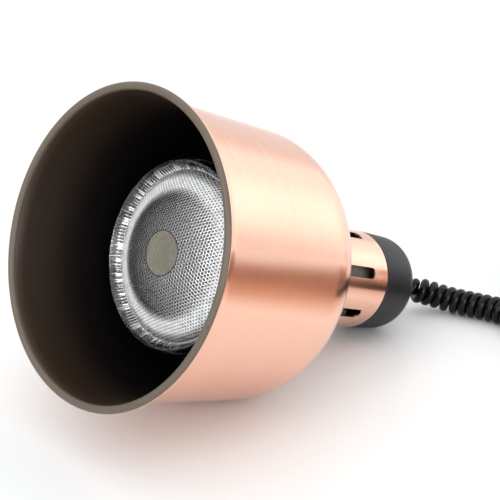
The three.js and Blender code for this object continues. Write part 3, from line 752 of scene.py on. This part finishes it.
def gland_profile(low, stem_low=None):
    """A cord gland: a grip, a groove and a domed nose, over the nipple or on a stem of its own."""
    radius, bore, high = GLAND["radius"], GLAND["bore"], low + GLAND["height"]
    edge, nose, roof = 0.4, 2.5, 1.5
    groove = [(0, 5.2), (0.6, 4.6), (0.6, 4.2), (0, 3.6)]  # depth, and distance below the nose's top
    outside = [
        (radius - edge, low), (radius, low + edge), *[(radius - d, high - down) for d, down in groove],
        *arc((radius - nose, high - nose), nose, 0, 90, 10), (bore, high),
    ]
    if stem_low is None:
        return [(NIPPLE_BORE, low), *outside, (bore, high - roof), (NIPPLE_BORE, high - roof)]
    return [(NIPPLE_RADIUS, stem_low), (NIPPLE_RADIUS, low), *outside, (bore, stem_low)]


def grip(r, z, angles):
    """Shallow flutes in all that stands out as far as a gland's grip."""
    flutes, depth = 18, 0.3
    fluted = GLAND["radius"] - depth * (0.5 + 0.5 * np.cos(angles * flutes))
    return np.minimum(r, fluted)


def make_glands():
    cup_top, stem = CANOPY_CUP["depth"], 8
    lamp_profile = gland_profile(CAP["top"] + GAP)
    canopy_profile = gland_profile(cup_top + GAP, cup_top - stem)
    lamp_gland = lathe("lamp_gland_body", lamp_profile, LAMP, [CHARCOAL], 144, ripple=grip)
    top_gland = lathe("canopy_gland_body", canopy_profile, CANOPY, [CHARCOAL], 144, ripple=grip)
    stands_for(lamp_gland, "fixture", "cord_gland")
    return stands_for(top_gland, "fixture", "canopy_gland")


make_cap()
canopy_gland = make_glands()


# ---------------------------------------------------------------- bulb
def front_profile(inset, steps):
    """The bulb's front from its apex over the rolled edge to its widest ring."""
    edge_centre = (BULB["radius"] - BULB["edge"], BULB["ring_low"])
    face_z = BULB["apex"] + BULB["face"]
    edge_angle = math.degrees(math.atan2(edge_centre[1] - face_z, edge_centre[0]))
    face = arc((0, face_z), BULB["face"] - inset, -90, edge_angle, steps)
    roll = arc(edge_centre, BULB["edge"] - inset, edge_angle, 0, max(8, steps // 8))
    return [(max(0.0, r), z) for r, z in [*face, *roll[1:]]]


FLANK = [(62.5, 64), (60.5, 80), (55.5, 100), (47, 120), (35.5, 138), (25.5, 151), (19.5, 163),
         (19.5, 186), (11.5, 193), (11.5, 198), (11.5, 203)]


def flank_profile(inset):
    """The bulb's flank from its widest ring back to the base, as one smooth line."""
    line = smooth_route([(r - inset, 0, z) for r, z in FLANK], 8)
    return [(r, z) for r, _, z in line]


def dimples(lengths, angles):
    """How far each vertex sinks into a field of hexagonal dimples, and 1 where it is on a ridge."""
    pitch, depth, bowl_size = 2.3, 0.3, 0.3
    fade_in, fade_out = BULB["clear"], 67.0
    r, a = np.meshgrid(lengths, angles, indexing="ij")
    x, y = r * np.cos(a) / pitch, r * np.sin(a) / pitch
    row = math.sqrt(3)
    nearest = np.full(x.shape, np.inf)
    for shift_x, shift_y in ((0, 0), (0.5, row / 2)):
        dx = x - shift_x - np.round(x - shift_x)
        dy = (y - shift_y) - row * np.round((y - shift_y) / row)
        nearest = np.minimum(nearest, dx * dx + dy * dy)
    bowl = np.clip(1 - nearest / bowl_size, 0, 1)
    present = smooth_step((r - fade_in) / 1.5) * smooth_step((fade_out - r) / 3)
    return depth * bowl * present, (1 - bowl) * present


def bulb_glass():
    """The clear front: a finely meshed skin with real dimples and a smooth skin behind it."""
    segments, outer_steps, inner_steps = 960, 176, 24
    angles = np.arange(segments) * (2 * math.pi / segments)
    ring_top = BULB["ring_high"] - 0.05
    inner_radius = BULB["radius"] - BULB["glass"]
    outer = np.array([*front_profile(0, outer_steps), (BULB["radius"], ring_top)])
    inner = np.array([(inner_radius, ring_top), *front_profile(BULB["glass"], inner_steps)[::-1]])
    lengths = line_lengths(outer)
    slope = np.gradient(outer, axis=0)
    slope /= np.linalg.norm(slope, axis=1)[:, None]
    inward = np.column_stack([-slope[:, 1], slope[:, 0]])
    sink, ridge = dimples(lengths, angles)
    sunk = outer[:, None, :] + inward[:, None, :] * sink[:, :, None]
    flat = np.repeat(inner[:, None, :], segments, axis=1)
    rings = np.concatenate([sunk[1:], flat[:-1]])
    radius, height = rings[..., 0], rings[..., 1]
    points = np.stack([radius * np.cos(angles), radius * np.sin(angles), height], axis=-1)
    vertices = np.vstack([points.reshape(-1, 3), [(0, 0, outer[0, 1])], [(0, 0, inner[-1, 1])]])
    count = len(rings)
    first, last = count * segments, count * segments + 1
    following = [(k + 1) % segments for k in range(segments)]
    faces = [[first, k, following[k]] for k in range(segments)]
    for i in range(count - 1):
        a, b = i * segments, (i + 1) * segments
        faces += [[a + k, b + k, b + following[k], a + following[k]] for k in range(segments)]
    end = (count - 1) * segments
    faces += [[end + k, last, end + following[k]] for k in range(segments)]
    etched_rings = int(np.searchsorted(lengths, BULB["clear"]))
    face_materials = [1 if i < etched_rings * segments else 0 for i in range(len(faces))]
    piece = add_mesh("bulb_front_glass", vertices * MM, faces, LAMP, [DIMPLED, ETCHED],
                     face_materials, sharp=80)
    ridges = np.zeros(len(vertices))
    ridges[:ridge[1:].size] = ridge[1:].ravel()
    piece.data.attributes.new("ridge", "FLOAT", "POINT").data.foreach_set("value", ridges)
    outward(piece)
    return piece


def make_bulb():
    outer = flank_profile(0)
    inner = flank_profile(BULB["glass"])[::-1]
    bands = [0] * len(outer) + [1] * len(inner)
    mirror = lathe("bulb_flank", [*outer, *inner], LAMP, [MIRROR, SMOKE], 192, bands)
    stands_for(mirror, "bulb_slide", "bulb_envelope")
    stands_for(bulb_glass(), "bulb_slide", "bulb_envelope")


THREAD_DEPTH = 0.42  # half of the way from root to crest
THREAD_SHEET = 0.5


def thread(r, z, angles):
    """A right-hand thread of rounded ridges."""
    return r + THREAD_DEPTH * np.cos(2 * math.pi * z / BASE["thread"] - angles)


def threaded_tube(name, crest, low, high, material):
    """Sheet rolled into a thread, whose crests are at the radius given."""
    middle = crest - THREAD_DEPTH
    outside = [(middle, z) for z in np.arange(low, high, 0.3)]
    inside = [(middle - THREAD_SHEET, z) for _, z in outside[::-1]]
    return lathe(name, [*outside, *inside], LAMP, [material], 96, ripple=thread)


def make_screw_base():
    """The bulb's threaded base with a smooth shoulder that narrows to the insulator."""
    radius, high = BASE["radius"] - THREAD_DEPTH, BASE["high"]
    top = high - 3
    threaded = threaded_tube("bulb_base_thread", BASE["radius"], BASE["low"] + 0.2, top, NICKEL)
    profile = [
        (radius - 0.5, top), (radius + 0.3, top), (radius, high - 2),
        (8.6, high), (8.1, high - 0.5), (radius - 0.6, high - 2.4),
    ]
    shoulder = lathe("bulb_base_shoulder", profile, LAMP, [NICKEL], 96)
    stands_for(threaded, "bulb_turn", "bulb_screw_shell")
    stands_for(shoulder, "bulb_turn", "bulb_screw_shell")


def make_holder_liner():
    low, high = HOLDER["low"] + 2, HOLDER["floor"] - GAP - 3
    liner = threaded_tube("holder_thread", HOLDER["bore"] - GAP, low, high, BRASS)
    stands_for(liner, "fixture", "lampholder_shell")


def make_filament():
    """A coiled tungsten wire hung in an open ring."""
    ring, gap, height = 15, math.radians(42), 112
    coil, turns, points, thickness = 0.8, 96, 1600, 0.2
    t = np.linspace(0, 1, points)
    around = gap + (2 * math.pi - 2 * gap) * t
    turn = t * 2 * math.pi * turns
    radius = ring + coil * np.cos(turn)
    z = height + coil * np.sin(turn)
    local = np.column_stack([radius * np.cos(around), radius * np.sin(around), z])
    world = np.array([LAMP @ Vector(p) for p in local * MM])
    filament = wire("filament_coil", world, thickness * MM, TUNGSTEN, 2)
    stands_for(filament, "bulb_turn", "filament")


make_bulb()
make_screw_base()
make_holder_liner()
make_filament()


# ---------------------------------------------------------------- canopy
def make_canopy():
    cup = CANOPY_CUP
    lean = math.atan2(cup["rim"] - cup["back"], cup["depth"])
    lean_degrees = math.degrees(lean)
    centre_z = cup["depth"] - cup["edge"]
    wall_radius = cup["rim"] - centre_z * math.tan(lean)
    centre = (wall_radius - cup["edge"] / math.cos(lean), centre_z)
    profile = [
        (cup["rim"] - SHEET, GAP), (cup["rim"] - 0.5, GAP), (cup["rim"] - 0.1, GAP + 0.4),
        *arc(centre, cup["edge"], lean_degrees, 90, 16),
        (NIPPLE_BORE, cup["depth"]), (NIPPLE_BORE, cup["depth"] - SHEET),
        *arc(centre, cup["edge"] - SHEET, 90, lean_degrees, 8),
    ]
    canopy = lathe("canopy_cup_shell", profile, CANOPY, [CANOPY_COPPER], 192)
    return stands_for(canopy, "fixture", "canopy_cup")


canopy_cup = make_canopy()

with_cord = [near_relief, far_relief, canopy_cup, canopy_gland]
with_cord += [frame["nodes"][name] for name in (
    "canopy_bracket", "canopy_terminal_block", "canopy_gland_nut", "canopy_cord_tail",
    "canopy_core_1", "canopy_core_2", "canopy_core_3", "canopy_screw_1", "canopy_screw_2")]


# ---------------------------------------------------------------- studio
def studio_material(name, color):
    s = Shader(name)
    mottle = s.noise(s.object_point(), 3, 2)
    base = s.mix(s.ramp(mottle, 0.3, 0.7), color, scaled(color, 0.985))
    return s.surface({"Base Color": base, "Roughness": 0.35, "Specular IOR Level": 0.3})


def quad(name, corners, material):
    sheet = add_mesh(name, corners, [[0, 1, 2, 3]], Matrix.Identity(4), [material])
    return sheet


def sky_direction(shader):
    """Azimuth and elevation of the view ray in degrees; azimuth 0 is +Y, -90 is +X and 90 is -X."""
    parts = shader.add("SeparateXYZ", {0: shader.add("TexCoord").outputs["Generated"]}).outputs
    minus_x = shader.math("MULTIPLY", parts[0], -1.0)
    azimuth = shader.math("DEGREES", shader.math("ARCTAN2", minus_x, parts[1]))
    return azimuth, shader.math("DEGREES", shader.math("ARCSINE", parts[2]))


def window(shader, value, low, high, soft):
    """1 between low and high, 0 outside, with edges as wide as soft."""
    rise = shader.ramp(value, low - soft / 2, low + soft / 2)
    fall = shader.ramp(value, high - soft / 2, high + soft / 2, 1.0, 0.0)
    return shader.math("MULTIPLY", rise, fall)


SKY_LEVEL = 0.92
# Patches of the surroundings: azimuth from and to, elevation from and to, edge width, added light.
SKY_PATCHES = [
    (-180, 180, 40, 90, 20, 0.75),
    (-122, -76, -5, 60, 3, 0.45),
    (-126, -98, 4, 34, 14, 0.5),
    (30, 181, -90, 60, 30, -0.45),
    (-181, -150, -90, 60, 30, -0.8),
    (140, 172, 0, 38, 8, 5.0),
    (30, 62, 0, 36, 8, 0.3),
    (60, 94, 0, 50, 6, 1.6),
    (94, 106, 2, 50, 4, 6.5),
]


def make_sky():
    """White surroundings, brighter and darker in patches that the copper and the glass reflect."""
    world = bpy.data.worlds.new("studio")
    world.use_nodes = True
    s = Nodes(world.node_tree)
    azimuth, elevation = sky_direction(s)
    level = SKY_LEVEL
    for az_low, az_high, el_low, el_high, soft, light in SKY_PATCHES:
        across = window(s, azimuth, az_low, az_high, soft)
        upwards = window(s, elevation, el_low, el_high, soft)
        patch = s.math("MULTIPLY", across, upwards)
        level = s.math("ADD", level, s.math("MULTIPLY", patch, light))
    background = world.node_tree.nodes["Background"]
    s.tree.links.new(s.math("MAXIMUM", level, 0.0), background.inputs["Strength"])
    background.inputs["Color"].default_value = (1, 1, 1, 1)
    bpy.context.scene.world = world


# The dark card's directions on the floor: outwards to the camera's right, and away from the camera.
CARD_OUT = Vector((0.788, -0.616, 0))
CARD_SIDE = Vector((0.616, 0.788, 0))


def fading_card(name):
    """Pale near the lamp and dark further out, and clear from below so the floor never reflects it."""
    s = Shader(name)
    pale, warm, dark = (0.75, 0.75, 0.75, 1), (0.45, 0.3, 0.22, 1), (0.24, 0.12, 0.075, 1)
    out = s.vector("DOT_PRODUCT", s.object_point(), CARD_OUT, "Value")
    near = s.mix(s.ramp(out, 0.14, 0.24), pale, warm)
    base = s.mix(s.ramp(out, 0.24, 0.42), near, dark)
    card = s.add("BsdfPrincipled", {"Base Color": base, "Roughness": 0.7, "Specular IOR Level": 0.1})
    from_below = s.add("NewGeometry").outputs["Backfacing"]
    clear = s.add("BsdfTransparent")
    seen = s.add("MixShader", {0: from_below, 1: card.outputs[0], 2: clear.outputs[0]})
    s.tree.links.new(seen.outputs[0], s.out.inputs["Surface"])
    return s.material


def make_card():
    """A flat flag just above the floor that only reflections see."""
    lift = Vector((0, 0, 0.0004))
    near, far, low, high = 0.13, 0.75, -1.5, 0.09
    spots = [(near, low), (far, low), (far, high), (near, high)]
    corners = [CARD_OUT * u + CARD_SIDE * v + lift for u, v in spots]
    card = quad("dark_card", corners, fading_card("dark_card"))
    card.visible_camera = False
    card.visible_shadow = False
    card.visible_diffuse = False


def make_studio():
    size = 5.0
    floor = studio_material("studio_floor", (0.7, 0.715, 0.72, 1))
    quad("floor", [(-size, -size, 0), (size, -size, 0), (size, size, 0), (-size, size, 0)], floor)
    make_card()
    make_sky()
    scene = bpy.context.scene
    scene.view_settings.view_transform = "Standard"
    scene.view_settings.look = "None"


make_studio()
